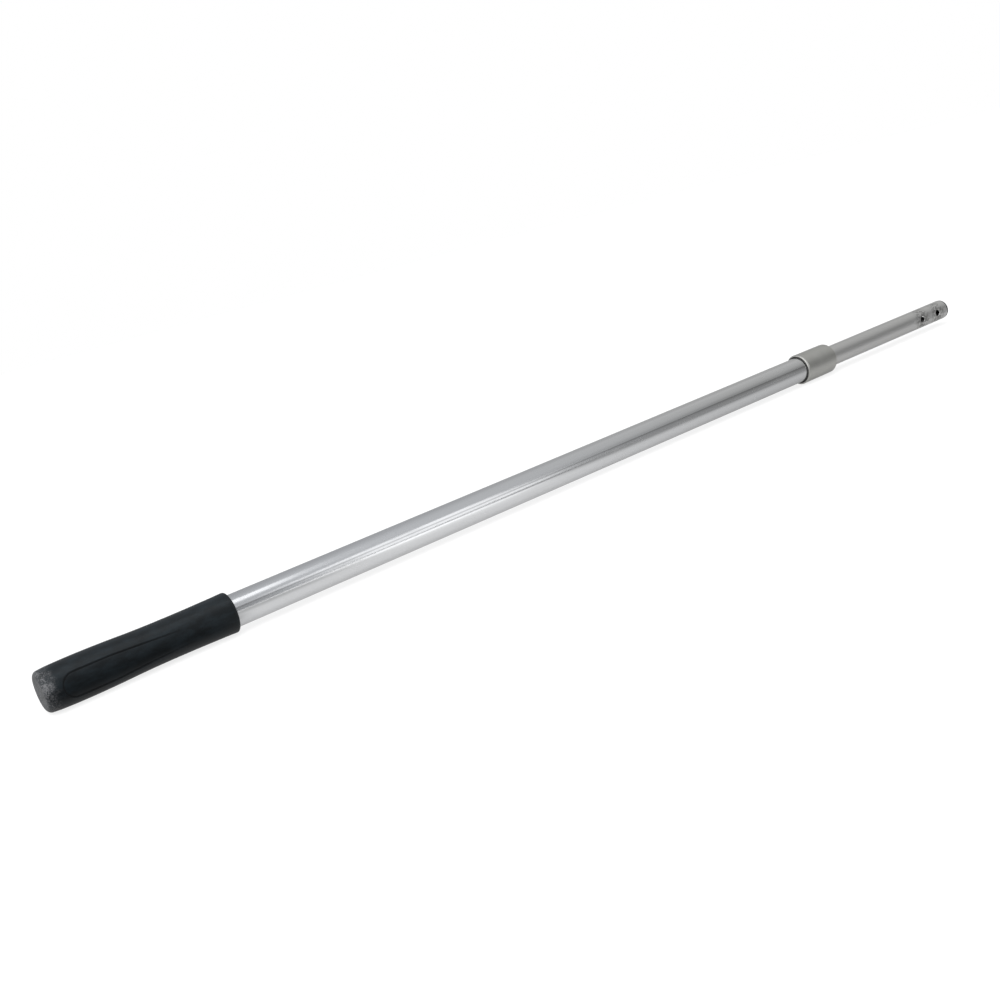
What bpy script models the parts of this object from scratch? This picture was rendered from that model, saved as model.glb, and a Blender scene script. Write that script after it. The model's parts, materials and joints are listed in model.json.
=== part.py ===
"""Telescopic staff of a stop/slow paddle, lying along +X with its butt at the origin."""

import itertools
import math

import bmesh
import bpy
from mathutils import Matrix, Vector

MM = 0.001

# Overall
TIP_X = 1300.0
ROUND = 48

# Hand grip
GRIP_LENGTH = 180.0
GRIP_POCKET_X = 8.0
GRIP_POCKET_R = 16.15
GRIP_OUTLINE = (
    (0.0, 14.4),
    (0.2, 15.7),
    (0.7, 16.9),
    (1.5, 17.9),
    (2.7, 18.65),
    (4.4, 19.1),
    (7.0, 19.38),
    (10.0, 19.6),
    (13.5, 19.8),
    (17.0, 19.97),
    (19.5, 20.06),
    (22.0, 20.13),
    (25.0, 20.17),
    (28.5, 20.19),
    (33.0, 20.2),
    (42.0, 20.2),
    (52.0, 20.1),
    (62.0, 19.88),
    (72.0, 19.55),
    (82.0, 19.2),
    (92.0, 18.93),
    (102.0, 18.76),
    (112.0, 18.7),
    (122.0, 18.7),
    (134.0, 18.75),
    (146.0, 18.9),
    (158.0, 19.12),
    (168.0, 19.33),
    (175.0, 19.55),
    (178.4, 19.7),
    (179.5, 19.5),
    (180.0, 19.0),
)
GRIP_SQUARE = 0.02  # how much the diagonals stand out past a circle, as a share
TONGUE_START_X = 14.0
TONGUE_TAPER_X = 60.0
TONGUE_END_X = 145.0
TONGUE_HALF = 10.8
TONGUE_HALF_END = 6.0
TONGUE_DEPTH = 0.7
TONGUE_FADE = 50.0
GRIP_ANGLES = (0, 6, 12, 17, 21, 25, 28, 31, 35, 43, 51, 59, 67, 75, 83, 90)

# Outer tube
OUTER_R = 15.875
WALL = 1.5
OUTER_X = (10.3, 1016.5)

# Twist lock
COLLAR_X = (988.5, 1044.5)
COLLAR_R = 19.1
PITCH = 3.2
THREAD_X = 997.0
THREAD_TURNS = 3
FERRULE_R = (16.125, 16.9)
THREAD_CREST_R = 17.45
COLLAR_BORE_R = 17.65
COLLAR_THREAD_R = 17.05
RIVET_X = 1010.3
RIVET_R = 1.4
RIVET_GAP = 0.3

# Inner tube
INNER_R = 13.0
INNER_X = (40.0, 1296.0)
BOLT_HOLES_X = (1240.0, 1275.0)
BOLT_HOLE_R = 4.1
SEAT_X = (1222.0, 1292.0)
SEAT_DEPTH = 0.6
CLIP_GROOVES_X = (58.1, 86.7)
STOP_BUSH_X = (180.5, 201.5)


def clear_scene():
    for obj in list(bpy.data.objects):
        bpy.data.objects.remove(obj, do_unlink=True)


def material(name, color, metallic, roughness):
    made = bpy.data.materials.new(name)
    made.use_nodes = True
    shader = made.node_tree.nodes["Principled BSDF"]
    shader.inputs["Base Color"].default_value = (*color, 1.0)
    shader.inputs["Metallic"].default_value = metallic
    shader.inputs["Roughness"].default_value = roughness
    return made


def around(x, radius, angle):
    """The point at this angle about the staff's axis, counted from +Y towards +Z."""
    return Vector((x, radius * math.cos(angle), radius * math.sin(angle))) * MM


def object_from(name, points, faces, look=None):
    mesh = bpy.data.meshes.new(name)
    mesh.from_pydata(points, [], faces)
    work = bmesh.new()
    work.from_mesh(mesh)
    bmesh.ops.recalc_face_normals(work, faces=work.faces)
    work.to_mesh(mesh)
    work.free()
    made = bpy.data.objects.new(name, mesh)
    bpy.context.scene.collection.objects.link(made)
    if look:
        made.data.materials.append(material(name, *look))
        mesh.polygons.foreach_set("use_smooth", [True] * len(mesh.polygons))
        mesh.set_sharp_from_angle(angle=math.radians(35))
    return made


def lathe(name, outline, look=None, segments=ROUND):
    """A turned piece. The outline is a closed loop of (x, radius), or runs from axis to axis."""
    solid = outline[0][1] == 0 and outline[-1][1] == 0
    rows = outline[1:-1] if solid else outline
    angles = [math.tau * j / segments for j in range(segments)]
    points = [around(x, radius, angle) for x, radius in rows for angle in angles]
    faces = []
    row_pairs = len(rows) - 1 if solid else len(rows)
    for i in range(row_pairs):
        here = i * segments
        there = (i + 1) % len(rows) * segments
        for j in range(segments):
            k = (j + 1) % segments
            faces.append((here + j, here + k, there + k, there + j))
    if solid:
        faces.append(tuple(range(segments)))
        last = (len(rows) - 1) * segments
        faces.append(tuple(range(last + segments - 1, last - 1, -1)))
    return object_from(name, points, faces, look)


def swept_faces(steps):
    """The faces of a four-cornered section swept through this many steps, closed at both ends."""
    faces = []
    for j in range(steps):
        here = 4 * j
        there = here + 4
        for k in range(4):
            after = (k + 1) % 4
            faces.append((here + k, here + after, there + after, there + k))
    faces.append((3, 2, 1, 0))
    faces.append(tuple(4 * steps + k for k in range(4)))
    return faces


def split_ring(name, x_range, radii, gap_degrees, look, steps=40):
    """A ring with a gap at the top, such as a circlip."""
    start = math.radians(90 + gap_degrees / 2)
    sweep = math.radians(360 - gap_degrees)
    low, high = x_range
    inner, outer = radii
    corners = ((low, inner), (high, inner), (high, outer), (low, outer))
    points = [around(x, r, start + sweep * j / steps) for j in range(steps + 1) for x, r in corners]
    return object_from(name, points, swept_faces(steps), look)


def helix_ridge(name, start_x, base_r, base_width, crest_r, crest_width):
    """One right-hand thread ridge, its base sunk into the wall that carries it."""
    steps = ROUND * THREAD_TURNS
    base = base_width / 2
    crest = crest_width / 2
    section = ((-base, base_r), (-crest, crest_r), (crest, crest_r), (base, base_r))
    points = []
    for j in range(steps + 1):
        angle = math.tau * j / ROUND
        centre = start_x + PITCH * j / ROUND
        points += [around(centre + dx, r, angle) for dx, r in section]
    return helper(object_from(name, points, swept_faces(steps)))


def helper(obj):
    obj.hide_render = True
    obj.display_type = "WIRE"
    return obj


def box(name, low, high):
    corners = itertools.product((low[0], high[0]), (low[1], high[1]), (low[2], high[2]))
    points = [Vector(corner) * MM for corner in corners]
    faces = [(0, 1, 3, 2), (4, 6, 7, 5), (0, 4, 5, 1), (2, 3, 7, 6), (0, 2, 6, 4), (1, 5, 7, 3)]
    return helper(object_from(name, points, faces))


def radial_rod(name, x, radius, reach, angle, look=None, segments=20):
    """A round rod standing out from the axis, from reach[0] to reach[1]."""
    out = Vector((0, math.cos(angle), math.sin(angle)))
    side = Vector((1, 0, 0)).cross(out)
    points = []
    for distance in reach:
        for j in range(segments):
            turn = math.tau * j / segments
            offset = Vector((1, 0, 0)) * math.cos(turn) + side * math.sin(turn)
            points.append((Vector((x, 0, 0)) + out * distance + offset * radius) * MM)
    faces = []
    for j in range(segments):
        k = (j + 1) % segments
        faces.append((j, k, segments + k, segments + j))
    faces.append(tuple(range(segments - 1, -1, -1)))
    faces.append(tuple(range(segments, 2 * segments)))
    made = object_from(name, points, faces, look)
    return made if look else helper(made)


def boolean(obj, other, operation="DIFFERENCE"):
    modifier = obj.modifiers.new(other.name, "BOOLEAN")
    modifier.operation = operation
    modifier.solver = "EXACT"
    modifier.object = other


def tongue_depth(x, arc):
    """How deep the long recess is here: arc is the distance round the grip from its middle line."""
    round_x = TONGUE_START_X + TONGUE_HALF
    taper = max(x - TONGUE_TAPER_X, 0.0) / (TONGUE_END_X - TONGUE_TAPER_X)
    half = TONGUE_HALF - (TONGUE_HALF - TONGUE_HALF_END) * taper
    inside = half - (math.hypot(x - round_x, arc) if x < round_x else abs(arc))
    edge = min(max(inside / 0.9, 0.0), 1.0)
    fade = min(max((TONGUE_END_X - x) / TONGUE_FADE, 0.0), 1.0)
    return TONGUE_DEPTH * edge * fade


def grip_radius(x, radius, degrees):
    """degrees is counted from the nearer of -Y and +Y."""
    squareness = GRIP_SQUARE * (1 - math.cos(math.radians(4 * degrees))) / 2
    arc = radius * math.radians(degrees)
    return radius * (1 + squareness) - tongue_depth(x, arc)


def build_grip():
    quarter = list(GRIP_ANGLES)
    half = [-d for d in reversed(quarter[1:])] + quarter
    around_all = [(180 + d, d) for d in half[:-1]] + [(d, d) for d in half[:-1]]
    count = len(around_all)
    points = []
    for x, radius in GRIP_OUTLINE:
        points += [around(x, grip_radius(x, radius, d), math.radians(turn)) for turn, d in around_all]
    pocket = (
        (GRIP_LENGTH, GRIP_POCKET_R + 0.5),
        (GRIP_LENGTH - 0.6, GRIP_POCKET_R),
        (GRIP_POCKET_X, GRIP_POCKET_R),
    )
    for x, radius in pocket:
        points += [around(x, radius, math.radians(turn)) for turn, d in around_all]
    rows = len(GRIP_OUTLINE) + len(pocket)
    faces = []
    for i in range(rows - 1):
        here = i * count
        there = here + count
        for j in range(count):
            k = (j + 1) % count
            faces.append((here + j, here + k, there + k, there + j))
    faces.append(tuple(range(count)))
    faces.append(tuple(range((rows - 1) * count, rows * count)))
    object_from("grip", points, faces, ((0.02, 0.022, 0.026), 0.0, 0.6))


def tube_outline(x_range, radius, wall, chamfer=0.3):
    low, high = x_range
    inner = radius - wall
    return [
        (low, inner),
        (low, radius - chamfer),
        (low + chamfer, radius),
        (high - chamfer, radius),
        (high, radius - chamfer),
        (high, inner),
    ]


def build_outer_tube():
    look = ((0.80, 0.80, 0.82), 1.0, 0.22)
    tube = lathe("outer_tube", tube_outline(OUTER_X, OUTER_R, WALL), look)
    x = OUTER_X[0]
    bore = OUTER_R - WALL
    plug = [
        (x - 2.0, 0),
        (x - 2.0, OUTER_R - 0.5),
        (x - 1.6, OUTER_R - 0.1),
        (x - 0.3, OUTER_R - 0.1),
        (x - 0.3, bore - 0.3),
        (x + 17.0, bore - 0.3),
        (x + 18.0, bore - 0.9),
        (x + 18.0, bore - 2.4),
        (x + 1.5, bore - 2.6),
        (x + 1.5, 0),
    ]
    lathe("tube_butt_plug", plug, ((0.03, 0.03, 0.03), 0.0, 0.5))
    return tube


def build_ferrule(tube):
    inner, outer = FERRULE_R
    outline = [
        (989.6, inner),
        (989.6, 17.0),
        (990.0, 17.4),
        (992.2, 17.4),
        (992.6, outer),
        (1013.2, outer),
        (1013.2, 16.5),
        (1014.8, 16.5),
        (1014.8, outer),
        (1016.7, outer),
        (1016.7, inner),
    ]
    ferrule = lathe("threaded_ferrule", outline, ((0.02, 0.02, 0.022), 0.0, 0.45))
    thread = helix_ridge("ferrule_thread", THREAD_X, outer - 0.3, 1.75, THREAD_CREST_R, 0.95)
    boolean(ferrule, thread, "UNION")
    for number, degrees in enumerate((90, 210, 330), 1):
        angle = math.radians(degrees)
        hole = radial_rod(f"rivet_hole_{number}", RIVET_X, RIVET_R + RIVET_GAP, (13.0, 18.5), angle)
        boolean(ferrule, hole)
        boolean(tube, hole)
        look = ((0.55, 0.55, 0.57), 1.0, 0.35)
        radial_rod(f"ferrule_rivet_{number}", RIVET_X, RIVET_R, (14.45, outer - 0.1), angle, look)
    split_ring("collar_stop_ring", (1013.4, 1014.6), (16.75, 17.3), 14, ((0.4, 0.4, 0.42), 1.0, 0.4))


def build_collet():
    bore = INNER_R + 0.25
    outline = [
        (1017.0, bore),
        (1017.0, 16.9),
        (1023.1, 16.9),
        (1023.5, 16.5),
        (1024.5, 16.4),
        (1038.5, 14.4),
        (1038.9, 14.1),
        (1038.9, bore),
    ]
    collet = lathe("collet", outline, ((0.80, 0.80, 0.76), 0.0, 0.5))
    for number, degrees in enumerate((30, 90, 150), 1):
        slot = box(f"collet_slot_{number}", (1025.0, -20.0, -0.6), (1042.5, 20.0, 0.6))
        slot.data.transform(Matrix.Rotation(math.radians(degrees), 4, "X"))
        boolean(collet, slot)
    slip = [(1026.0, 16.5), (1026.0, 17.25), (1039.3, 17.25), (1039.3, 14.6)]
    lathe("slip_ring", slip, ((0.45, 0.32, 0.10), 0.0, 0.45))


def build_collar():
    low, high = COLLAR_X
    outline = [
        (low + 0.2, COLLAR_BORE_R),
        (low, COLLAR_BORE_R + 0.2),
        (low, COLLAR_R - 0.7),
        (low + 0.3, COLLAR_R - 0.15),
        (low + 1.0, COLLAR_R + 0.15),
        (low + 1.9, COLLAR_R + 0.15),
        (low + 2.3, COLLAR_R),
        (high - 2.6, COLLAR_R - 0.25),
        (high - 1.0, COLLAR_R - 0.7),
        (high, COLLAR_R - 1.7),
        (high, INNER_R + 0.7),
        (high - 0.4, INNER_R + 0.4),
        (high - 1.1, INNER_R + 0.4),
        (high - 1.1, 14.9),
        (high - 3.9, 14.9),
        (high - 3.9, INNER_R + 0.4),
        (high - 4.8, INNER_R + 0.4),
        (high - 4.8, 17.55),
        (1016.9, 17.55),
        (1016.5, COLLAR_BORE_R),
    ]
    collar = lathe("lock_collar", outline, ((0.62, 0.61, 0.60), 1.0, 0.36))
    start = THREAD_X + PITCH / 2
    thread = helix_ridge("collar_thread", start, COLLAR_BORE_R + 0.3, 1.65, COLLAR_THREAD_R, 0.9)
    boolean(collar, thread, "UNION")
    wiper = [
        (high - 3.6, INNER_R + 0.6),
        (high - 3.6, 14.6),
        (high - 1.4, 14.6),
        (high - 1.4, INNER_R + 0.6),
        (high - 2.1, INNER_R + 0.25),
        (high - 2.9, INNER_R + 0.25),
    ]
    lathe("collar_wiper", wiper, ((0.02, 0.02, 0.02), 0.0, 0.8))


def build_inner_tube():
    low, high = INNER_X
    bore = INNER_R - WALL
    groove = INNER_R - 0.4
    outline = [(low, bore), (low, INNER_R - 0.3), (low + 0.3, INNER_R)]
    for centre in CLIP_GROOVES_X:
        first = centre - 0.8
        last = centre + 0.8
        outline += [(first, INNER_R), (first, groove), (last, groove), (last, INNER_R)]
    outline += [(high - 0.3, INNER_R), (high, INNER_R - 0.3), (high, bore)]
    tube = lathe("inner_tube", outline, ((0.66, 0.66, 0.66), 1.0, 0.34))
    for side, name in ((-1, "near"), (1, "far")):
        face = side * (INNER_R - SEAT_DEPTH)
        beyond = side * (INNER_R + 2)
        low_y, high_y = sorted((face, beyond))
        boolean(tube, box(f"seat_{name}", (SEAT_X[0], low_y, -8.0), (SEAT_X[1], high_y, 8.0)))
    for number, x in enumerate(BOLT_HOLES_X, 1):
        boolean(tube, radial_rod(f"bolt_hole_{number}", x, BOLT_HOLE_R, (-16.0, 16.0), 0.0, segments=32))
    middle = sum(STOP_BUSH_X) / 2
    bush_bore = INNER_R + 0.25
    bush_r = OUTER_R - WALL - 0.275
    first, last = STOP_BUSH_X
    bush_outline = [
        (first, bush_bore),
        (first, bush_r - 0.4),
        (first + 0.8, bush_r),
        (last - 0.8, bush_r),
        (last, bush_r - 0.4),
        (last, bush_bore),
    ]
    nylon = ((0.78, 0.78, 0.74), 0.0, 0.5)
    bush = lathe("stop_bush", bush_outline, nylon)
    for number, degrees in enumerate((90, 270), 1):
        angle = math.radians(degrees)
        hole = radial_rod(f"stop_hole_{number}", middle, RIVET_R + RIVET_GAP, (9.0, 15.5), angle)
        boolean(tube, hole)
        boolean(bush, hole)
        look = ((0.55, 0.55, 0.57), 1.0, 0.35)
        radial_rod(f"stop_rivet_{number}", middle, RIVET_R, (11.3, bush_r - 0.15), angle, look)
    return nylon


def build_slide_bush(nylon):
    first = CLIP_GROOVES_X[0] + 0.9
    last = CLIP_GROOVES_X[1] - 0.9
    bore = INNER_R + 0.25
    outer = OUTER_R - WALL - 0.275
    outline = [
        (first, bore),
        (first, outer - 0.4),
        (first + 0.8, outer),
        (last - 0.8, outer),
        (last, outer - 0.4),
        (last, bore),
    ]
    lathe("slide_bush", outline, nylon)
    for number, centre in enumerate(CLIP_GROOVES_X, 1):
        reach = (centre - 0.6, centre + 0.6)
        look = ((0.4, 0.4, 0.42), 1.0, 0.4)
        split_ring(f"bush_clip_{number}", reach, (INNER_R - 0.15, 14.0), 14, look)


def build_end_plugs():
    low, high = INNER_X
    spigot = INNER_R - WALL - 0.3
    lower = [
        (low - 2.3, 0),
        (low - 2.3, INNER_R - 0.4),
        (low - 1.9, INNER_R),
        (low - 0.3, INNER_R),
        (low - 0.3, spigot),
        (low + 13.0, spigot),
        (low + 14.0, spigot - 0.6),
        (low + 14.0, spigot - 2.0),
        (low + 1.5, spigot - 2.2),
        (low + 1.5, 0),
    ]
    black = ((0.02, 0.02, 0.022), 0.0, 0.5)
    lathe("inner_end_plug", lower, black)
    upper = [
        (TIP_X, 0),
        (TIP_X, 9.0),
        (TIP_X - 0.25, 10.7),
        (TIP_X - 0.8, 11.8),
        (TIP_X - 1.7, 12.55),
        (high + 0.3, 12.85),
        (high + 0.3, spigot),
        (high - 12.0, spigot),
        (high - 13.0, spigot - 0.6),
        (high - 13.0, spigot - 2.0),
        (high - 0.5, spigot - 2.2),
        (high - 0.5, 0),
    ]
    lathe("tip_plug", upper, black)


def main():
    clear_scene()
    build_grip()
    outer_tube = build_outer_tube()
    build_ferrule(outer_tube)
    build_collet()
    build_collar()
    nylon = build_inner_tube()
    build_slide_bush(nylon)
    build_end_plugs()


main()
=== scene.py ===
# %% [markdown]
# # A telescopic staff for a stop/slow paddle
#
# The staff is two aluminium tubes, one sliding in the other, with a moulded hand grip at the
# butt and a twist lock where the tubes meet. The sign blade bolts on through two cross holes
# near the tip. The working frame, with its joints, is loaded first. Everything after that
# dresses the frame: finer meshes for what shows, and a finish for every piece.

# %% Load the frame
import json
import math

import bmesh
import bpy
from mathutils import Matrix, Vector


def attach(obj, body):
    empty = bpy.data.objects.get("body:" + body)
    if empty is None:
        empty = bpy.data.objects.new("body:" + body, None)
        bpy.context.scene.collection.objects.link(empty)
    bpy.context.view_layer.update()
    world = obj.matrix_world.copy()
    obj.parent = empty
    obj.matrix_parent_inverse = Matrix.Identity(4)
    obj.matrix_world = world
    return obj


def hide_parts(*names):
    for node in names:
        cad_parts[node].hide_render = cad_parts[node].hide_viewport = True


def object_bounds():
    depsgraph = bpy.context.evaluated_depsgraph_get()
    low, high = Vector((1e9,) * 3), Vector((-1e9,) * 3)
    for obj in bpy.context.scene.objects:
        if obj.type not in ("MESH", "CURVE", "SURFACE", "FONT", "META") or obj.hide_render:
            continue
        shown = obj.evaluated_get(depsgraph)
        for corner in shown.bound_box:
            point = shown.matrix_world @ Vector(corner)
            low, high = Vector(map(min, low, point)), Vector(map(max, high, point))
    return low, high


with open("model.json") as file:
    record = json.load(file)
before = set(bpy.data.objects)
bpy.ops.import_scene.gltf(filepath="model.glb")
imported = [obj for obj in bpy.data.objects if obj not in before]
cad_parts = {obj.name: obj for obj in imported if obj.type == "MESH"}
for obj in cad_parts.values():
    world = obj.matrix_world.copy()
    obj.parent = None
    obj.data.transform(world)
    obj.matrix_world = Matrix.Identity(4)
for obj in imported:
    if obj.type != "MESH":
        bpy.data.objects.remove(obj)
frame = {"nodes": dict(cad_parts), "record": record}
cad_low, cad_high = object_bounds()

MM = 0.001
print("frame", [round(side, 3) for side in cad_high - cad_low], "m,", len(frame["nodes"]), "nodes")

# %% [markdown]
# ## The camera
#
# The staff runs away from the lens, so its far end looks thinner than its near end. A lens of
# about 44 mm on a 36 mm sensor, 1.1 m from the butt, gives that taper. The camera is placed
# by three directions: where it looks, what is up and what is right. Written as the columns of a
# matrix, they also hold the small roll that a tracking constraint would lose.

# %% Camera
FOCAL_MM = 44.1
CAMERA_AT = Vector((-0.19492, -1.06369, 0.28392))
CAMERA_RIGHT = Vector((0.77768, -0.57567, -0.25263))
CAMERA_UP = Vector((0.33316, 0.03661, 0.94216))


def place_camera():
    lens = bpy.data.cameras.new("camera")
    lens.sensor_width = 36.0
    lens.lens = FOCAL_MM
    lens.clip_start = 0.01
    camera = bpy.data.objects.new("camera", lens)
    back = CAMERA_RIGHT.cross(CAMERA_UP)
    turn = Matrix((CAMERA_RIGHT, CAMERA_UP, back)).transposed().to_4x4()
    camera.matrix_world = Matrix.Translation(CAMERA_AT) @ turn
    bpy.context.scene.collection.objects.link(camera)
    bpy.context.scene.camera = camera


place_camera()
print("camera at", tuple(round(c, 3) for c in CAMERA_AT), "m with a", FOCAL_MM, "mm lens")

# %% [markdown]
# ## Writing shader maths as sums
#
# A finish is a network of nodes. Wiring each one by hand hides what it works out, so a small
# class wraps a socket, and + - * / between two of them add the Math nodes. One method makes
# every other kind of node from its settings and the values or links of its inputs.

# %% Shader helpers


class Wire:
    """A socket that can be added, multiplied and so on with others or with numbers."""

    def __init__(self, network, socket):
        self.network = network
        self.socket = socket

    def maths(self, operation, first, second):
        return self.network.node("Math", {"operation": operation}, {0: first, 1: second})

    def __add__(self, other):
        return self.maths("ADD", self, other)

    def __sub__(self, other):
        return self.maths("SUBTRACT", self, other)

    def __rsub__(self, other):
        return self.maths("SUBTRACT", other, self)

    def __mul__(self, other):
        return self.maths("MULTIPLY", self, other)

    def __truediv__(self, other):
        return self.maths("DIVIDE", self, other)

    def __pow__(self, other):
        return self.maths("POWER", self, other)

    __radd__ = __add__
    __rmul__ = __mul__


class Network:
    """The nodes of a material or of the room's light."""

    def __init__(self, tree):
        self.tree = tree

    def node(self, kind, settings, inputs, output=0):
        made = self.tree.nodes.new("ShaderNode" + kind)
        for key, value in settings.items():
            if key == "stops":
                ramp = made.color_ramp.elements
                while len(ramp) < len(value):
                    ramp.new(0.5)
                for element, (place, color) in zip(ramp, value):
                    element.position = place
                    element.color = (*color, 1.0)
            else:
                setattr(made, key, value)
        for key, value in inputs.items():
            self.feed(made.inputs[key], value)
        return Wire(self, made.outputs[output])

    def feed(self, socket, value):
        if isinstance(value, Wire):
            self.tree.links.new(value.socket, socket)
        else:
            socket.default_value = value

    def ramp(self, value, stops):
        return self.node("ValToRGB", {"stops": stops}, {0: value})

    def step(self, value, low, high):
        """0 below low, 1 above high, smooth between."""
        settings = {"interpolation_type": "SMOOTHSTEP"}
        return self.node("MapRange", settings, {"Value": value, "From Min": low, "From Max": high})

    def blend(self, factor, first, second):
        """A colour mixed from two others."""
        return self.node("Mix", {"data_type": "RGBA"}, {0: factor, 6: first, 7: second}, 2)


class Finish(Network):
    """A material being written. Its constants go straight on the shader's own sockets."""

    def __init__(self, name, constants):
        self.material = bpy.data.materials.new(name)
        self.material.use_nodes = True
        super().__init__(self.material.node_tree)
        self.shader = self.tree.nodes["Principled BSDF"]
        for socket, value in constants.items():
            self.shader.inputs[socket].default_value = value

    def place(self, scale=(1, 1, 1)):
        """Object coordinates in metres, stretched by scale."""
        where = self.node("TexCoord", {}, {}, "Object")
        return self.node("Mapping", {}, {"Vector": where, "Scale": scale})

    def noise(self, vector, scale, detail=3.0, roughness=0.55):
        sockets = {"Vector": vector, "Scale": scale, "Detail": detail, "Roughness": roughness}
        return self.node("TexNoise", {}, sockets)

    def bump(self, height, strength, distance_mm):
        sockets = {"Height": height, "Strength": strength, "Distance": distance_mm * MM}
        return self.node("Bump", {}, sockets)

    def set(self, **sockets):
        for socket, value in sockets.items():
            self.feed(self.shader.inputs[socket.replace("_", " ").title()], value)
        return self.material


def grey(level):
    return (level, level, level, 1.0)


print("shader helpers ready")

# %% [markdown]
# ## Drawn aluminium
#
# The outer tube is drawn through a die and left bright. Drawing leaves fine lines along the
# tube, so the noise is squeezed round the tube and stretched along it. The lines show as small
# changes of roughness and a very shallow bump. A darker line along the whole length of the
# outer tube, a little above its -Y side, is a painted dark reflection. Handling adds soft, dull
# smudges on top.

# %% Aluminium finishes
# Where the painted dark reflection lies along the outer tube: angle up from -Y, and strength.
PAINTED_REFLECTION_LINES = ((19.0, 0.8),)
REFLECTION_LINE_CORE = 0.6
REFLECTION_LINE_HALF = 4.0
HOLES_AT = (1240.0, 1275.0)
RUB_REACH = 0.019
RUB_CORE = 0.45
RUBBED_GREY = (0.30, 0.30, 0.29, 1.0)


def painted_reflection_lines(finish, lines):
    """Painted dark reflections: narrow lines at angles in degrees up from -Y, each with a
    strength, and 0 between.
    """
    where = {"Vector": finish.place()}
    across, up = (finish.node("SeparateXYZ", {}, where, axis) for axis in "YZ")
    turned = finish.node("Math", {"operation": "ARCTAN2"}, {0: up, 1: 0 - across})
    core, half = math.radians(REFLECTION_LINE_CORE), math.radians(REFLECTION_LINE_HALF)
    total = 0.0
    for angle, strength in lines:
        off = finish.node("Math", {"operation": "ABSOLUTE"}, {0: turned - math.radians(angle)})
        total = total + (1 - finish.step(off, core, half)) * strength
    return total


def rubbed(finish, centres, reach):
    """Blotches within reach of the bolt holes, where the blade's washers have rubbed."""
    along, up = (finish.node("SeparateXYZ", {}, {"Vector": finish.place()}, axis) for axis in "XZ")
    near = 0.0
    for centre in centres:
        away = ((along - centre) ** 2 + up ** 2) ** 0.5
        near = near + (1 - finish.step(away, reach * RUB_CORE, reach))
    blotches = finish.step(finish.noise(finish.place(), 300.0, 3.0, 0.7), 0.42, 0.58)
    settings = {"operation": "MULTIPLY", "use_clamp": True}
    return finish.node("Math", settings, {0: near, 1: blotches})


def drawn_aluminium(name, color, rough, line_depth, smudge, reflection_lines=(), rubbed_at=()):
    finish = Finish(name, {"Metallic": 1.0})
    lines = finish.noise(finish.place((1.5, 900, 900)), 1.0, 4.0, 0.6)
    broad = finish.noise(finish.place((1.0, 160, 160)), 1.0, 2.0)
    smears = finish.noise(finish.place((9, 40, 40)), 1.0, 5.0, 0.65)
    specks = finish.step(finish.noise(finish.place(), 420.0, 2.0), 0.66, 0.74)
    dull = finish.step(smears, 0.48, 0.72)
    roughness = rough + (lines - 0.5) * 0.16 + (broad - 0.5) * 0.12
    roughness = roughness + dull * smudge + specks * 0.12
    tone = 0.5 + (lines - 0.5) * 0.5 + (broad - 0.5) * 0.5 - specks * 0.25
    dark = tuple(c * 0.86 for c in color)
    color_out = finish.blend(tone, (*dark, 1.0), (*color, 1.0))
    # A darker line along the tube here is a painted dark reflection, in a darker copy of the
    # colour.
    if reflection_lines:
        wear_and_painted_light = tuple(c * 0.6 for c in color)
        color_out = finish.blend(painted_reflection_lines(finish, reflection_lines), color_out, (*wear_and_painted_light, 1.0))
    if rubbed_at:
        patch = rubbed(finish, rubbed_at, RUB_REACH)
        color_out = finish.blend(patch * 0.8, color_out, RUBBED_GREY)
        roughness = roughness + patch * 0.2
    normal = finish.bump(lines * 0.6 + broad, 0.35, line_depth)
    return finish.set(base_color=color_out, roughness=roughness, normal=normal)


outer_finish = drawn_aluminium(
    "drawn aluminium", (0.87, 0.878, 0.89), rough=0.17, line_depth=0.012, smudge=0.10,
    reflection_lines=PAINTED_REFLECTION_LINES,
)
inner_finish = drawn_aluminium(
    "satin aluminium", (0.82, 0.82, 0.81), rough=0.36, line_depth=0.014, smudge=0.08,
    rubbed_at=[x * MM for x in HOLES_AT],
)
print("made", outer_finish.name, "and", inner_finish.name)

# %% [markdown]
# ## Turned aluminium
#
# The collar is turned on a lathe, then blasted to a satin finish. Its lines run round it, so
# here the noise is squeezed along the staff instead.

# %% Turned finish


def turned_metal(name, color, rough, ring_depth):
    finish = Finish(name, {"Metallic": 1.0})
    rings = finish.noise(finish.place((1600, 12, 12)), 1.0, 2.0)
    grain = finish.noise(finish.place(), 1800.0, 3.0)
    patches = finish.noise(finish.place(), 60.0, 3.0)
    roughness = rough + (rings - 0.5) * 0.18 + (patches - 0.5) * 0.16
    dark = tuple(c * 0.82 for c in color)
    tone = 0.5 + (patches - 0.5) * 0.9 + (rings - 0.5) * 0.4
    color_out = finish.blend(tone, (*dark, 1.0), (*color, 1.0))
    normal = finish.bump(rings * 0.5 + grain * 0.5, 0.5, ring_depth)
    return finish.set(base_color=color_out, roughness=roughness, normal=normal)


collar_finish = turned_metal("satin turned aluminium", (0.71, 0.71, 0.68), 0.38, 0.02)
rivet_finish = turned_metal("rivet aluminium", (0.60, 0.60, 0.62), 0.36, 0.01)
spring_finish = turned_metal("spring steel", (0.42, 0.42, 0.44), 0.32, 0.01)
bronze_finish = turned_metal("slip ring bronze", (0.62, 0.42, 0.18), 0.36, 0.01)
print("made", collar_finish.name)

# %% [markdown]
# ## Moulded black plastic
#
# The grip is moulded in black with a fine leather grain. Voronoi cells give the pebbles and
# noise breaks them up. The butt is knocked on the ground, which leaves dry grey scuffs. The
# scuffs follow the distance from the butt, roughened with noise. One corner of the butt has a
# painted highlight, a paler patch, and painted shade darkens the groove that outlines the recess.

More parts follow.
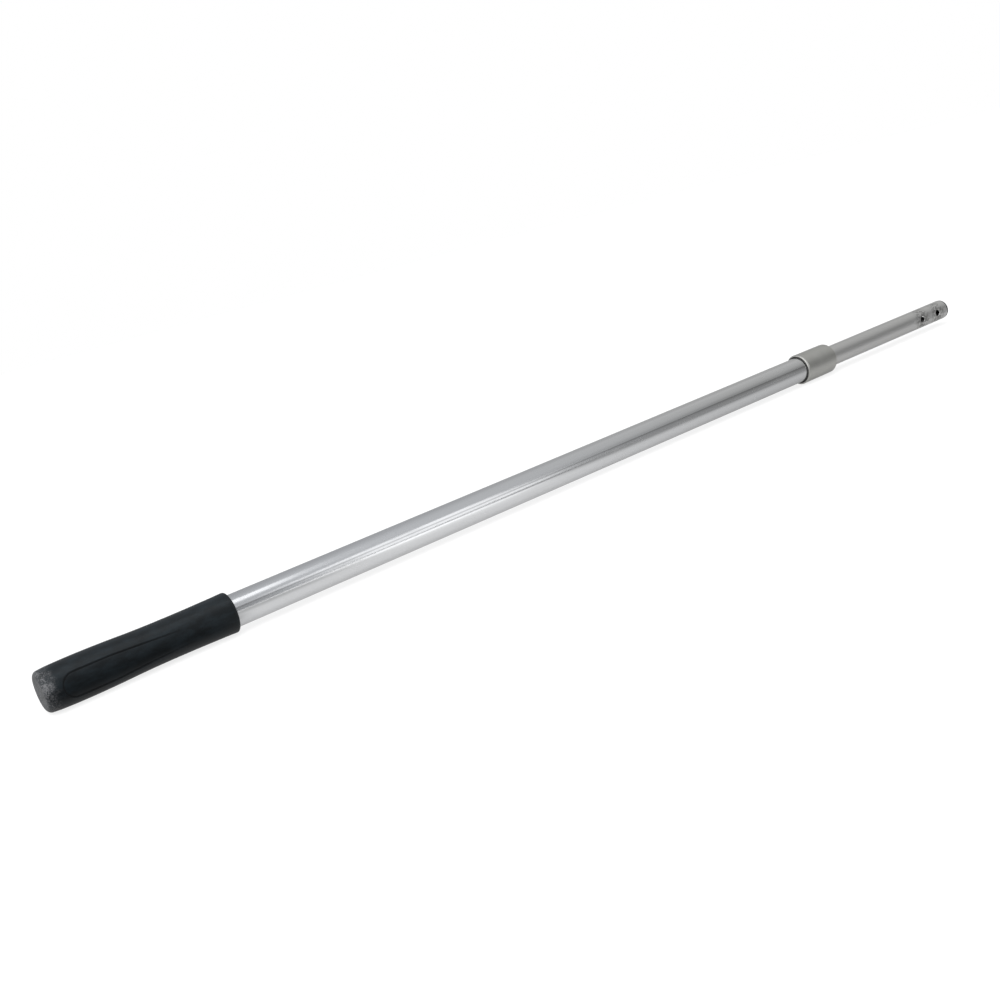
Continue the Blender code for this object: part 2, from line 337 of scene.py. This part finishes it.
# %% Black plastics
SCUFF_END = 0.015
SCUFF_AND_HIGHLIGHT_GREY = (0.19, 0.192, 0.20, 1.0)
CORNER_HIGHLIGHT_AT = (0.004, -0.0165, 0.0060)
CORNER_HIGHLIGHT_REACH = 0.0065
GROOVE_SHADE_BLACK = 0.0008


def moulded_black(name, color, rough, gloss, scuffs_and_painted_light=False):
    finish = Finish(name, {"Specular IOR Level": gloss})
    where = finish.place()
    warped = finish.noise(where, 260.0, 3.0)
    smooth = {"feature": "SMOOTH_F1"}
    pebbles = finish.node("TexVoronoi", smooth, {"Vector": where, "Scale": 820.0})
    fine = finish.noise(where, 2600.0, 2.0)
    clouds = finish.noise(finish.place((60, 150, 150)), 1.0, 5.0, 0.65)
    height = pebbles * 0.6 + fine * 0.3 + warped * 0.5
    roughness = rough + (clouds - 0.5) * 0.22 + (fine - 0.5) * 0.12
    light = tuple(c * 2.6 + 0.003 for c in color)
    tone = finish.blend(finish.step(clouds, 0.35, 0.7), (*color, 1.0), (*light, 1.0))
    if scuffs_and_painted_light:
        along = finish.node("SeparateXYZ", {}, {"Vector": where})
        ragged = finish.noise(where, 170.0, 6.0, 0.7)
        near_butt = 1 - finish.step(along + (ragged - 0.5) * 0.022, 0.001, SCUFF_END)
        specks = finish.step(finish.noise(where, 800.0, 4.0, 0.75), 0.44, 0.60)
        blotches = finish.step(finish.noise(where, 190.0, 3.0), 0.38, 0.62)
        # A painted highlight: a paler patch round one point on the corner of the butt, in the
        # scuff grey.
        distance = {"operation": "DISTANCE"}
        away = finish.node("VectorMath", distance, {0: where, 1: CORNER_HIGHLIGHT_AT}, "Value")
        corner_highlight = 1 - finish.step(away + (ragged - 0.5) * 0.008, 0.001, CORNER_HIGHLIGHT_REACH)
        wear_and_painted_light = near_butt * (0.08 + specks * (0.26 + blotches * 0.66))
        wear_and_painted_light = wear_and_painted_light + corner_highlight * (0.35 + specks * 0.45)
        tone = finish.blend(wear_and_painted_light, tone, SCUFF_AND_HIGHLIGHT_GREY)
        # Painted shade: the groove that outlines the recess is darkened and made rougher.
        groove_shade = finish.node("Attribute", {"attribute_name": "groove"}, {}, "Fac")
        tone = finish.blend(groove_shade * 0.7, tone, grey(GROOVE_SHADE_BLACK))
        roughness = roughness + wear_and_painted_light * 0.25 + groove_shade * 0.4
        height = height + specks * near_butt * 0.9
    normal = finish.bump(height, 0.55, 0.13)
    return finish.set(base_color=tone, roughness=roughness, normal=normal)


grip_finish = moulded_black("grip black", (0.0016, 0.0038, 0.0054), 0.46, 0.42, scuffs_and_painted_light=True)
ferrule_finish = moulded_black("ferrule black", (0.055, 0.055, 0.053), 0.5, 0.5)
plug_finish = moulded_black("plug black", (0.010, 0.010, 0.011), 0.8, 0.0)
wiper_finish = moulded_black("wiper rubber", (0.012, 0.012, 0.012), 0.8, 0.3)
print("made", grip_finish.name, "scuffed over", SCUFF_END * 1000, "mm")

# %% [markdown]
# ## Natural nylon
#
# The bushes and the collet are milky nylon. Light goes a little way into it, which the
# shader's subsurface weight gives. Faint flow marks come from stretched noise.

# %% Nylon


def natural_nylon():
    finish = Finish("natural nylon", {"Subsurface Weight": 0.15, "Subsurface Scale": 0.002})
    flow = finish.noise(finish.place((40, 140, 140)), 1.0, 4.0)
    fine = finish.noise(finish.place(), 900.0, 2.0)
    tone = finish.blend(flow, (0.70, 0.69, 0.62, 1.0), (0.80, 0.79, 0.73, 1.0))
    roughness = 0.42 + (flow - 0.5) * 0.2
    return finish.set(base_color=tone, roughness=roughness, normal=finish.bump(fine, 0.2, 0.02))


nylon_finish = natural_nylon()
print("made", nylon_finish.name)

# %% [markdown]
# ## Turning a shape
#
# Most of the staff is round, so most pieces start as half an outline spun a full turn. The
# outline is a list of (distance along the staff, radius) in millimetres. Sharp edges then get a
# narrow bevel, because a real edge is never perfectly sharp and it is the bevel that catches
# the light.

# %% Spin and soften
SHARP_ANGLE = math.radians(40)


def spun(outline, steps=128):
    work = bmesh.new()
    corners = [work.verts.new((x * MM, 0.0, radius * MM)) for x, radius in outline]
    edges = [work.edges.new(pair) for pair in zip(corners, corners[1:])]
    if outline[0][1] > 0:
        edges.append(work.edges.new((corners[-1], corners[0])))
    bmesh.ops.spin(
        work, geom=corners + edges, cent=(0, 0, 0), axis=(1, 0, 0), angle=math.tau, steps=steps,
        use_merge=True,
    )
    bmesh.ops.remove_doubles(work, verts=work.verts, dist=1e-6)
    bmesh.ops.recalc_face_normals(work, faces=work.faces)
    return work


def soften(work, radius_mm, sharper_than):
    limit = math.radians(sharper_than)
    edges = [e for e in work.edges if len(e.link_faces) == 2 and e.calc_face_angle() > limit]
    bmesh.ops.bevel(
        work, geom=edges, offset=radius_mm * MM, affect="EDGES", segments=3, profile=0.5,
        material=-1,
    )


def piece_from(work, name, finish, body, node):
    mesh = bpy.data.meshes.new(name)
    work.to_mesh(mesh)
    work.free()
    mesh.polygons.foreach_set("use_smooth", [True] * len(mesh.polygons))
    mesh.set_sharp_from_angle(angle=SHARP_ANGLE)
    piece = bpy.data.objects.new(name, mesh)
    bpy.context.scene.collection.objects.link(piece)
    mesh.materials.append(finish)
    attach(piece, body)
    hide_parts(node)
    print(name, len(mesh.polygons), "faces")
    return piece


# %% [markdown]
# ## Drilling
#
# Holes are cut with Boolean modifiers, which are then applied. A drill here is a spun rod with
# a flare where it leaves the metal, so each hole gets its small countersink from the same cut.

# %% Drills


def rod(along, radius, flare, reach, surface, direction, through=False):
    """A drill at x = along, out to reach past a surface, all in millimetres.

    direction is the angle from +Y towards +Z. A drill that goes through has two equal ends.
    """
    wide = radius + flare
    far_end = [(surface - flare, radius), (surface + 0.1, wide), (reach, wide), (reach, 0)]
    near_end = [(-x, r) for x, r in reversed(far_end)] if through else [(0, 0), (0, radius)]
    work = spun(near_end + far_end, 48)
    turn = Matrix.Rotation(math.radians(direction), 4, "X")
    turn = turn @ Matrix.Rotation(math.radians(90), 4, "Z")
    move = Matrix.Translation((along * MM, 0, 0))
    bmesh.ops.transform(work, matrix=move @ turn, verts=work.verts)
    mesh = bpy.data.meshes.new("drill")
    work.to_mesh(mesh)
    work.free()
    drill = bpy.data.objects.new("drill", mesh)
    bpy.context.scene.collection.objects.link(drill)
    return drill


def drilled(piece, drills):
    for drill in drills:
        cut = piece.modifiers.new("cut", "BOOLEAN")
        cut.operation = "DIFFERENCE"
        cut.solver = "EXACT"
        cut.object = drill
    bpy.context.view_layer.update()
    graph = bpy.context.evaluated_depsgraph_get()
    mesh = bpy.data.meshes.new_from_object(piece.evaluated_get(graph))
    piece.modifiers.clear()
    piece.data = mesh
    mesh.set_sharp_from_angle(angle=SHARP_ANGLE)
    for drill in drills:
        bpy.data.objects.remove(drill, do_unlink=True)
    print(piece.name, "drilled", len(drills), "times,", len(mesh.polygons), "faces")


# %% [markdown]
# ## The hand grip
#
# The grip is a sleeve closed at the butt, fuller near the butt and waisted where the fingers
# close. The sleeve is spun, and its points are then moved in and out: a little squareness, so
# that it doesn't roll in the hand, and a long tongue-shaped recess on each side with a rounded
# end and a fine lip. Moving points of a dense mesh keeps one skin, with no seam at the recess.

# %% Grip shape
GRIP_LENGTH = 180.0
GRIP_BORE = 15.95
GRIP_FLOOR = 8.0
BUTT_FLAT = 14.4
BUTT_CORNER = 4.6
BUTT_SIDE = 19.1
GRIP_SIDE = (
    (4.6, 19.1), (8.5, 19.48), (13.5, 19.8), (28.0, 20.13), (45.0, 20.14), (67.0, 19.72),
    (85.0, 19.1), (102.0, 18.76), (120.0, 18.7), (138.0, 18.8), (156.0, 19.1), (170.0, 19.38),
    (178.0, 19.68),
)


def cells(first, last, size):
    """Even places from first to last, about this size apart."""
    count = round((last - first) / size)
    return [first + (last - first) * i / count for i in range(count + 1)]


def smooth_through(keys, x):
    """The radius at x on a smooth curve through the keys."""
    last = len(keys) - 1
    i = min(max(sum(1 for key in keys if key[0] <= x) - 1, 0), last - 1)
    (x0, y0), (x1, y1) = keys[i], keys[i + 1]
    before, after = keys[max(i - 1, 0)], keys[min(i + 2, last)]
    slope0 = (y1 - before[1]) / (x1 - before[0])
    slope1 = (after[1] - y0) / (after[0] - x0)
    t = (x - x0) / (x1 - x0)
    span = x1 - x0
    blend0 = (2 * t ** 3 - 3 * t ** 2 + 1) * y0 + (t ** 3 - 2 * t ** 2 + t) * span * slope0
    return blend0 + (3 * t ** 2 - 2 * t ** 3) * y1 + (t ** 3 - t ** 2) * span * slope1


def grip_outline():
    corner = [math.radians(90 * i / 12) for i in range(1, 12)]
    rows = [(0.0, 0.0), (0.0, 6.0), (0.0, BUTT_FLAT)]
    rise = BUTT_SIDE - BUTT_FLAT
    rows += [(BUTT_CORNER * (1 - math.cos(a)), BUTT_FLAT + rise * math.sin(a)) for a in corner]
    places = cells(BUTT_CORNER, 62.0, 0.5) + cells(63.2, 178.2, 1.2)
    rows += [(x, smooth_through(GRIP_SIDE, x)) for x in places]
    rows += [(178.8, 19.68), (179.3, 19.55), (179.7, 19.3), (179.92, 18.95), (180.0, 18.5)]
    rows += [(180.0, 17.2), (179.9, 16.6), (179.5, 16.15), (178.8, GRIP_BORE)]
    return rows + [(GRIP_FLOOR, GRIP_BORE), (GRIP_FLOOR, 0.0)]


print("grip outline has", len(grip_outline()), "points")

# %% [markdown]
# The recess is a distance sum. For a point on the skin, the distance inside the tongue's edge
# gives a smooth step down. A narrow bell just outside the edge gives the lip, and another just
# inside it gives the fine groove that outlines the recess.

# %% Grip recess
SQUARENESS = 0.02
TONGUE_START = 15.5
TONGUE_TAPER = 60.0
TONGUE_END = 150.0
TONGUE_HALF = 11.8
TONGUE_HALF_END = 6.0
TONGUE_DEPTH = 0.55
TONGUE_FADE = 70.0
LIP = 0.12
GROOVE = 0.5
GROOVE_HALF = 0.55
WIDEST = 19.78


def smoothstep(value):
    value = min(max(value, 0.0), 1.0)
    return value * value * (3 - 2 * value)


def tongue_shape(x, arc):
    """How far the skin moves here, and how much of the groove this place is."""
    round_x = TONGUE_START + TONGUE_HALF
    taper = max(x - TONGUE_TAPER, 0.0) / (TONGUE_END - TONGUE_TAPER)
    half = TONGUE_HALF - (TONGUE_HALF - TONGUE_HALF_END) * taper
    inside = half - (math.hypot(x - round_x, arc) if x < round_x else abs(arc))
    fade = smoothstep((TONGUE_END - x) / TONGUE_FADE)
    lip = LIP * math.exp(-(((inside + 0.9) / GROOVE_HALF) ** 2))
    groove = fade * math.exp(-(((inside - 0.3) / GROOVE_HALF) ** 2))
    return fade * (lip - TONGUE_DEPTH * smoothstep(inside / 1.2)) - GROOVE * groove, groove


def shape_grip(work):
    grooves = work.verts.layers.float.new("groove")
    for vert in work.verts:
        x, y, z = (c / MM for c in vert.co)
        radius = math.hypot(y, z)
        if radius <= GRIP_BORE + 0.01 and x >= GRIP_FLOOR - 0.01 or radius < 1.0:
            continue
        side = math.atan2(z, abs(y))
        square = 1 + SQUARENESS * (1 - math.cos(4 * side)) / 2
        near_mouth = smoothstep((GRIP_LENGTH - x) / 2.0)
        offset, vert[grooves] = tongue_shape(x, radius * side)
        new_radius = radius * (1 + (square - 1) * near_mouth) + offset
        vert.co.y = min(max(y * new_radius / radius, -WIDEST), WIDEST) * MM
        vert.co.z *= new_radius / radius


grip_work = spun(grip_outline(), 256)
shape_grip(grip_work)
piece_from(grip_work, "grip_skin", grip_finish, "outer", "grip")

# %% [markdown]
# ## The outer tube
#
# A plain drawn tube, chamfered at both ends. Its far end carries the lock's threaded ferrule,
# held by three rivets, so three small holes are drilled there.

# %% Outer tube
OUTER_R = 15.875
WALL = 1.5
OUTER_ENDS = (10.3, 1016.5)
RIVETS_AT = 1010.3
RIVET_HOLE = 1.7
RIVET_FLARE = 0.1
CHAMFER = 0.3


def tube_outline(ends, radius, rows):
    """A tube's section: the outside through extra rows, then back along the bore."""
    low, high = ends
    start = [(low, radius - CHAMFER), (low + CHAMFER, radius)]
    end = [(high - CHAMFER, radius), (high, radius - CHAMFER)]
    return start + rows + end + [(high, radius - WALL), (low, radius - WALL)]


outer_rows = [(x, OUTER_R) for x in cells(30.0, 1000.0, 24.0)]
outer_work = spun(tube_outline(OUTER_ENDS, OUTER_R, outer_rows))
outer_tube = piece_from(outer_work, "outer_tube_drawn", outer_finish, "outer", "outer_tube")
outer_drills = [
    rod(RIVETS_AT, RIVET_HOLE, RIVET_FLARE, 19.0, OUTER_R, angle) for angle in (90, 210, 330)
]
drilled(outer_tube, outer_drills)

# %% [markdown]
# ## The inner tube
#
# The inner tube carries the sign blade. Two bolt holes go through it near the tip, and a narrow
# flat is milled along them on both sides as a seat. Drilling thin tube leaves a shallow dimple
# round each hole, so the points near a hole are eased inwards before the holes are cut.

# %% Inner tube
INNER_R = 13.0
INNER_ENDS = (40.0, 1296.0)
SEAT = (1222.0, 1292.0)
SEAT_FACE = 12.4
HOLE_R = 4.1
HOLE_FLARE = 1.35
CLIPS_AT = (58.1, 86.7)
CLIP_HALF = 0.8
CLIP_GROOVE_R = 12.6
STOP_RIVETS_AT = 191.0
SEAT_EASE = 3
DIMPLE = 0.22
DIMPLE_REACH = 1.6


def inner_rows():
    rows = []
    for centre in CLIPS_AT:
        start, end = centre - CLIP_HALF, centre + CLIP_HALF
        rows += [(start, INNER_R), (start, CLIP_GROOVE_R), (end, CLIP_GROOVE_R), (end, INNER_R)]
    rows += [(x, INNER_R) for x in cells(110.0, 1214.0, 24.0)]
    return rows + [(x, INNER_R) for x in cells(1216.0, 1294.4, 0.8)]


def mill_seat(work):
    """Presses both sides flat along the holes, easing in, with a dimple at each hole."""
    for vert in work.verts:
        x, y, z = (c / MM for c in vert.co)
        before, after = x - SEAT[0] + SEAT_EASE, SEAT[1] + SEAT_EASE - x
        if math.hypot(y, z) < INNER_R - 0.4 or before <= 0 or after <= 0:
            continue
        ease = smoothstep(before / SEAT_EASE) * smoothstep(after / SEAT_EASE)
        limit = INNER_R - (INNER_R - SEAT_FACE) * ease
        if abs(y) > limit:
            vert.co.y = math.copysign(limit * MM, y)
        past = [(math.hypot(x - hole, z) - HOLE_R) / DIMPLE_REACH for hole in HOLES_AT]
        dimple = sum(DIMPLE * math.exp(-p ** 2) for p in past)
        vert.co.y *= 1 - dimple / INNER_R


inner_work = spun(tube_outline(INNER_ENDS, INNER_R, inner_rows()))
mill_seat(inner_work)
inner_tube = piece_from(inner_work, "inner_tube_satin", inner_finish, "inner", "inner_tube")
bolt_drills = [rod(x, HOLE_R, HOLE_FLARE, 18.0, SEAT_FACE, 0, through=True) for x in HOLES_AT]
stop_drills = [
    rod(STOP_RIVETS_AT, RIVET_HOLE, RIVET_FLARE, 15.0, INNER_R, angle) for angle in (90, 270)
]
drilled(inner_tube, bolt_drills + stop_drills)

# %% [markdown]
# ## The lock collar
#
# The collar is turned from bar. Its mouth has a rolled lip that catches the light, and its nose
# is rounded over. Inside are the thread, a bore for the slip ring and a groove for the wiper.

# %% Collar
COLLAR = (988.5, 1044.5)
COLLAR_R = 19.1
THREAD_START = [(1016.9, 17.55), (1016.5, 17.65)]


def collar_outline():
    low, high = COLLAR
    mouth = [(0.1, 17.6), (0, 17.7), (0.1, 17.95), (0.4, 18.3), (0.85, 18.68), (1.4, 19.0)]
    mouth += [(1.9, 19.18), (2.4, 19.22), (2.8, 19.18), (3.1, COLLAR_R)]
    body = [(20, COLLAR_R - 0.08), (40, COLLAR_R - 0.16)]
    nose = [(2.6, 0.25), (1.6, 0.4), (0.7, 0.9), (0.15, 1.6), (0, 2.4)]
    wiper_groove = [(0, 13.7), (0.4, 13.4), (1.1, 13.4), (1.1, 14.9), (3.9, 14.9), (3.9, 13.4)]
    slip_bore = [(4.8, 13.4), (4.8, 17.55)]
    outline = [(low + x, radius) for x, radius in mouth + body]
    outline += [(high - x, COLLAR_R - cut) for x, cut in nose]
    outline += [(high - x, radius) for x, radius in wiper_groove + slip_bore]
    return outline + THREAD_START


collar_work = spun(collar_outline(), 160)
soften(collar_work, 0.12, 25.0)
piece_from(collar_work, "collar_turned", collar_finish, "collar", "lock_collar")

# %% [markdown]
# ## The tip plug
#
# A shallow black cap closes the tip. Only its crowned rim shows.

# %% Tip plug
TIP = 1300.0


def plug_outline():
    face = [(TIP, 0), (TIP, 9.0), (TIP - 0.1, 10.0), (TIP - 0.35, 10.9), (TIP - 0.8, 11.75)]
    face += [(TIP - 1.4, 12.35), (TIP - 2.2, 12.75), (TIP - 3.2, 12.9), (TIP - 3.6, 12.85)]
    spigot = [(TIP - 3.7, 12.7), (TIP - 3.7, 11.2), (TIP - 16, 11.2), (TIP - 17, 10.6)]
    return face + spigot + [(TIP - 17, 9.2), (TIP - 4.5, 9.0), (TIP - 4.5, 0)]


piece_from(spun(plug_outline()), "tip_plug_moulded", plug_finish, "inner", "tip_plug")

# %% [markdown]
# ## Finishes for the inner pieces
#
# The pieces inside the tubes and the lock keep the frame's own shapes. They only need their
# finish, so each slot of the record is given one here.

# %% Inner pieces
SLOT_FINISHES = {
    "plug_black": plug_finish,
    "ferrule_black": ferrule_finish,
    "rivet": rivet_finish,
    "spring_steel": spring_finish,
    "nylon": nylon_finish,
    "slip_bronze": bronze_finish,
    "wiper_rubber": wiper_finish,
    "grip_black": grip_finish,
    "outer_aluminium": outer_finish,
    "inner_aluminium": inner_finish,
    "collar_satin": collar_finish,
}
for row in frame["record"]["subparts"]:
    node = frame["nodes"][row["node"]]
    for place in node.material_slots:
        place.material = SLOT_FINISHES[row["material_slot"]]

# %% [markdown]
# ## Floor and light
#
# Bright metal shows its surroundings more than itself, so the room matters as much as the
# finish. The staff lies on a light table: most of the floor's light comes from the floor itself,
# so the shadow under the staff stays faint. To look at, the floor is white. As the metal sees
# it, pale and darker cards lie on it, as cards are laid round shiny work. The Light
# Path node tells the two apart.

# %% Floor
FLOOR_Z = cad_low.z
FLOOR_RADIUS = 14.0
OWN_LIGHT_SEEN = 0.80
WHITE_SEEN = 0.24
OWN_LIGHT = 0.6


def laid_cards(finish):
    """What the metal sees of the floor: a pale card under the staff and dimmer ones before it."""
    where = finish.place()
    along, across = (finish.node("SeparateXYZ", {}, {"Vector": where}, axis) for axis in "XY")
    dim = finish.blend(finish.step(along, 0.25, 1.0), grey(0.44), grey(0.24))
    pale = finish.blend(finish.step(along, 0.4, 1.1), grey(0.65), grey(0.46))
    card = finish.blend(finish.step(across, -0.09, -0.03), dim, pale)
    glow = finish.step(along, 0.28, 0.42) * (1 - finish.step(along, 0.50, 0.72))
    card = finish.blend(glow * (1 - finish.step(across, -0.12, -0.015)), card, grey(1.15))
    by_grip = (1 - finish.step(along, 0.16, 0.21)) * (1 - finish.step(across, -0.035, -0.008))
    return finish.blend(by_grip, card, grey(0.12))


def lay_floor():
    work = bmesh.new()
    bmesh.ops.create_circle(work, cap_ends=True, segments=64, radius=FLOOR_RADIUS)
    bmesh.ops.translate(work, vec=(0.6, 0, FLOOR_Z), verts=work.verts)
    mesh = bpy.data.meshes.new("floor")
    work.to_mesh(mesh)
    work.free()
    floor = bpy.data.objects.new("floor", mesh)
    bpy.context.scene.collection.objects.link(floor)
    finish = Finish("floor white", {"Specular IOR Level": 0.0, "Emission Strength": 1.0})
    card = laid_cards(finish)
    seen = finish.node("LightPath", {}, {}, "Is Camera Ray")
    lit = finish.blend(1 - OWN_LIGHT, grey(0.0), card)
    own = finish.blend(OWN_LIGHT, grey(0.0), card)
    base = finish.blend(seen, lit, grey(WHITE_SEEN))
    glow = finish.blend(seen, own, grey(OWN_LIGHT_SEEN))
    finish.set(base_color=base, roughness=0.9, emission_color=glow)
    mesh.materials.append(finish.material)


lay_floor()
print("floor at", round(FLOOR_Z, 4))

# %% [markdown]
# The room is painted by angle. Going round the staff from the viewer's side, over the top and
# down behind it, one ramp gives the light beside the grip, another the light past the grip and a
# third the light beyond the collar. Low down the room is dark beside the grip and beyond the
# collar. Its left wall is bright, and for what the camera sees directly it is white.

# %% Room
BESIDE_GRIP = ((0, 0.06), (22, 0.08), (36, 0.34), (60, 0.56), (90, 0.48), (140, 0.38), (180, 0.38))
PAST_GRIP = (
    (0, 0.44), (16, 0.40), (30, 0.46), (45, 0.54), (60, 0.58), (90, 0.54), (115, 0.48),
    (140, 0.41), (180, 0.40),
)
PAST_COLLAR = (
    (0, 0.24), (14, 0.19), (25, 0.21), (34, 0.27), (44, 0.33), (55, 0.40), (85, 0.48),
    (108, 0.52), (125, 0.46), (140, 0.42), (180, 0.46),
)
LEFT_WALL = 0.9
COOL = (0.975, 0.995, 1.03)
WARM = (1.0, 1.0, 0.985)


def paint_room():
    world = bpy.data.worlds.new("room")
    bpy.context.scene.world = world
    world.use_nodes = True
    room = Network(world.node_tree)
    direction = room.node("TexCoord", {}, {}, "Generated")
    x, y, z = (room.node("SeparateXYZ", {}, {"Vector": direction}, axis) for axis in "XYZ")
    turned = room.node("Math", {"operation": "ARCTAN2"}, {0: z, 1: 0 - y}) / math.pi

    def painted(levels, tint):
        stops = [(angle / 180, tuple(level * c for c in tint)) for angle, level in levels]
        return room.ramp(turned, stops)

    light = room.blend(room.step(x, -0.50, -0.15), grey(LEFT_WALL), painted(BESIDE_GRIP, COOL))
    light = room.blend(room.step(x, 0.28, 0.35), light, painted(PAST_GRIP, COOL))
    light = room.blend(room.step(x, 0.42, 0.74), light, painted(PAST_COLLAR, WARM))
    seen = room.node("LightPath", {}, {}, "Is Camera Ray")
    background = world.node_tree.nodes["Background"]
    room.feed(background.inputs["Color"], room.blend(seen, light, grey(1.0)))


paint_room()
print("painted", len(BESIDE_GRIP) + len(PAST_GRIP) + len(PAST_COLLAR), "levels of the room")

# %% [markdown]
# Three soft boxes and a broad, soft sun finish the light. The box overhead draws the highlight
# near the grip, and the tall box at the right draws the bright band along the middle. The one at
# the left lights the butt, the collar's lip and the walls of the holes. The sun only lightens
# the floor, so it is hidden from reflections.

# %% Lights
SOFT_BOXES = (
    ("overhead box", (0.22, -0.42, 1.3), (0.22, -0.2, 0.0), (1.1, 0.62), 0.85),
    ("right box", (1.05, -1.12, 0.48), (0.4, 0.0, 0.0), (0.52, 0.88), 0.72),
    ("left box", (-1.35, -1.2, 0.85), (0.4, 0.0, 0.0), (0.8, 0.8), 2.4),
)
SUN_SPREAD = 70
SUN_STRENGTH = 2.2
SUN_TOWARDS = Vector((0.35, 0.3, -1.0))


def soft_box(name, at, towards, size, radiance):
    lamp = bpy.data.lights.new(name, "AREA")
    lamp.shape = "RECTANGLE"
    lamp.size, lamp.size_y = size
    lamp.energy = radiance * math.pi * size[0] * size[1]
    made = bpy.data.objects.new(name, lamp)
    made.location = at
    made.rotation_euler = (Vector(towards) - Vector(at)).to_track_quat("-Z", "Y").to_euler()
    bpy.context.scene.collection.objects.link(made)


for row in SOFT_BOXES:
    soft_box(*row)

sun = bpy.data.lights.new("sun", "SUN")
sun.angle = math.radians(SUN_SPREAD)
sun.energy = SUN_STRENGTH
sunshine = bpy.data.objects.new("sun", sun)
sunshine.rotation_euler = SUN_TOWARDS.to_track_quat("-Z", "Y").to_euler()
sunshine.visible_glossy = False
bpy.context.scene.collection.objects.link(sunshine)
bpy.context.scene.view_settings.view_transform = "Standard"
bpy.context.scene.view_settings.look = "None"
print("lit by", len(bpy.data.lights), "lights and the room")
